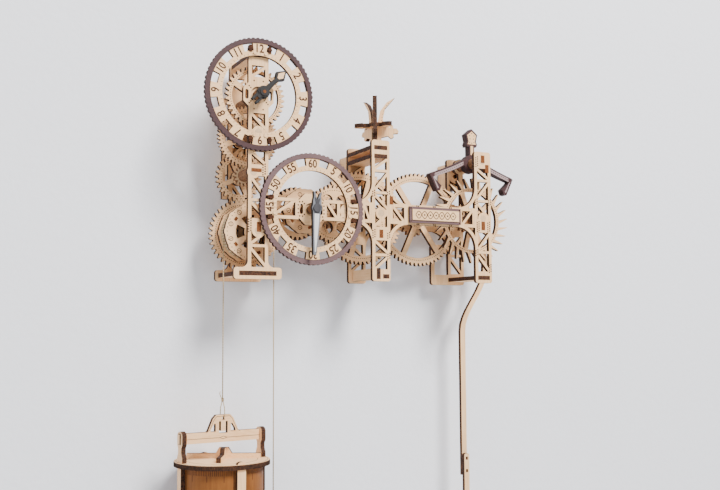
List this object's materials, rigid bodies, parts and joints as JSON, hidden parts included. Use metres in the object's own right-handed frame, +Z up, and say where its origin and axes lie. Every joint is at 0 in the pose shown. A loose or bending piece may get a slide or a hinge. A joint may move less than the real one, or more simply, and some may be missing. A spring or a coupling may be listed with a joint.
{
  "type": "wooden mechanical wall clock",
  "caption": "Laser cut plywood wall clock with truss towers, separate hour and minute dials, an open gear train, an anchor with pendulum and a weight on a cord.",
  "frame": {"origin": "midway between the two wall screw holes, on the wall plane", "axes": "+X along the wall to the viewer's right, +Y into the wall, +Z up; the dials face -Y"},
  "size_m": [0.3413, 0.0836, 0.5566],
  "materials": {
    "birch_ply": "laser cut birch plywood, sanded, edges burnt dark brown",
    "beech_dowel": "round wooden dowel with glued pinion",
    "plum_ply": "plywood stained dark plum brown",
    "black_ply": "plywood stained black",
    "grey_ply": "plywood stained steel grey with a pale inlay",
    "amber_ply": "thin kerf bent plywood with an amber stain",
    "twine": "twisted natural twine",
    "ballast": "dull grey ballast"
  },
  "bodies": {
    "frame": {"left_front_plate": "birch_ply", "left_back_plate": "birch_ply", "foot_plate": "birch_ply", "left_spacers": "birch_ply", "minute_beam": "birch_ply", "main_front_plate": "birch_ply", "main_back_plate": "birch_ply", "centre_shelves": "birch_ply", "right_spacers": "birch_ply", "wall_brackets": "birch_ply", "dial_pegs": "beech_dowel", "hour_dial_border": "plum_ply", "hour_dial_face": "birch_ply", "minute_dial_border": "plum_ply", "minute_dial_face": "birch_ply", "name_border": "plum_ply", "name_plate": "birch_ply", "finial_vanes": "birch_ply", "finial_star": "birch_ply", "third_axle": "beech_dowel", "weight_cord": "twine", "pull_cord": "twine"},
    "drum": {"great_wheel": "birch_ply", "drum_front_flange": "birch_ply", "drum_barrel": "birch_ply", "drum_rear_flange": "birch_ply", "drum_arbor": "beech_dowel"},
    "transfer": {"transfer_wheel": "birch_ply", "transfer_arbor": "beech_dowel"},
    "reduction": {"reduction_wheel": "birch_ply", "reduction_arbor": "beech_dowel"},
    "hour": {"hour_wheel": "birch_ply", "hour_arbor": "beech_dowel", "hour_hand": "black_ply"},
    "minute": {"minute_wheel": "birch_ply", "minute_disc": "birch_ply", "minute_arbor": "beech_dowel", "minute_hand": "grey_ply"},
    "third": {"third_wheel": "birch_ply", "third_pinion": "beech_dowel"},
    "fourth": {"fourth_wheel": "birch_ply", "fourth_arbor": "beech_dowel"},
    "fifth": {"fifth_wheel": "birch_ply", "fifth_arbor": "beech_dowel"},
    "escape": {"escape_wheel": "birch_ply", "escape_arbor": "beech_dowel"},
    "pendulum": {"anchor": "plum_ply", "anchor_arbor": "beech_dowel", "pendulum_rod": "birch_ply", "pendulum_strip": "birch_ply", "pendulum_pegs": "beech_dowel", "pendulum_bob": "birch_ply"},
    "weight": {"weight_lid": "birch_ply", "weight_base": "birch_ply", "weight_panels": "amber_ply", "weight_posts": "birch_ply", "weight_bail": "birch_ply", "weight_ballast": "ballast"},
    "bead": {"pull_bead": "birch_ply"}
  },
  "joints": [
    {"name": "weight_drop", "type": "slide", "parent": "frame", "child": "weight", "axis": [0, 0, -1], "range_m": [-0.05, 0.12], "deforming": ["weight_cord"]},
    {"name": "drum_spin", "type": "hinge", "parent": "frame", "child": "drum", "pos_m": [-0.115, -0.041, -0.0685], "axis": [0, 1, 0], "range_deg": [-305.59, 127.34]},
    {"name": "minute_spin", "type": "hinge", "parent": "frame", "child": "minute", "pos_m": [-0.06551, -0.041, -0.0478], "axis": [0, 1, 0], "range_deg": [-167.13, 401.09]},
    {"name": "transfer_spin", "type": "hinge", "parent": "frame", "child": "transfer", "pos_m": [-0.11942, -0.041, -0.01794], "axis": [0, 1, 0], "range_deg": [-191, 458.38]},
    {"name": "reduction_spin", "type": "hinge", "parent": "frame", "child": "reduction", "pos_m": [-0.115, -0.041, 0.01688], "axis": [0, 1, 0], "range_deg": [-133.71, 55.72]},
    {"name": "hour_spin", "type": "hinge", "parent": "frame", "child": "hour", "pos_m": [-0.115, -0.041, 0.0495], "axis": [0, 1, 0], "range_deg": [-13.94, 33.44]},
    {"name": "third_spin", "type": "hinge", "parent": "frame", "child": "third", "pos_m": [-0.03071, -0.041, -0.0478], "axis": [0, 1, 0], "range_deg": [-802.16, 334.24]},
    {"name": "fourth_spin", "type": "hinge", "parent": "frame", "child": "fourth", "pos_m": [0.00409, -0.041, -0.0478], "axis": [0, 1, 0], "range_deg": [-1002.69, 2406.44]},
    {"name": "fifth_spin", "type": "hinge", "parent": "frame", "child": "fifth", "pos_m": [0.06209, -0.041, -0.0478], "axis": [0, 1, 0], "range_deg": [-7219.28, 3008.04]},
    {"name": "escape_spin", "type": "hinge", "parent": "frame", "child": "escape", "pos_m": [0.11501, -0.041, -0.0478], "axis": [0, 1, 0], "range_deg": [-15040.16, 36096.36]},
    {"name": "bead_rise", "type": "slide", "parent": "frame", "child": "bead", "axis": [0, 0, 1], "range_m": [-0.05, 0.12], "deforming": ["pull_cord"]},
    {"name": "pendulum_swing", "type": "hinge", "parent": "frame", "child": "pendulum", "pos_m": [0.11502, -0.041, 0.008], "axis": [0, 1, 0], "range_deg": [-3.5, 3.5]}
  ],
  "couplings": [
    {"joint": "drum_spin", "follows": "weight_drop", "rad_per_m": -44.444},
    {"joint": "minute_spin", "follows": "weight_drop", "rad_per_m": 58.333},
    {"joint": "transfer_spin", "follows": "weight_drop", "rad_per_m": 66.667},
    {"joint": "reduction_spin", "follows": "weight_drop", "rad_per_m": -19.444},
    {"joint": "hour_spin", "follows": "weight_drop", "rad_per_m": 4.8611},
    {"joint": "third_spin", "follows": "weight_drop", "rad_per_m": -116.67},
    {"joint": "fourth_spin", "follows": "weight_drop", "rad_per_m": 350},
    {"joint": "fifth_spin", "follows": "weight_drop", "rad_per_m": -1050},
    {"joint": "escape_spin", "follows": "weight_drop", "rad_per_m": 5250},
    {"joint": "bead_rise", "follows": "weight_drop", "ratio": 1}
  ]
}
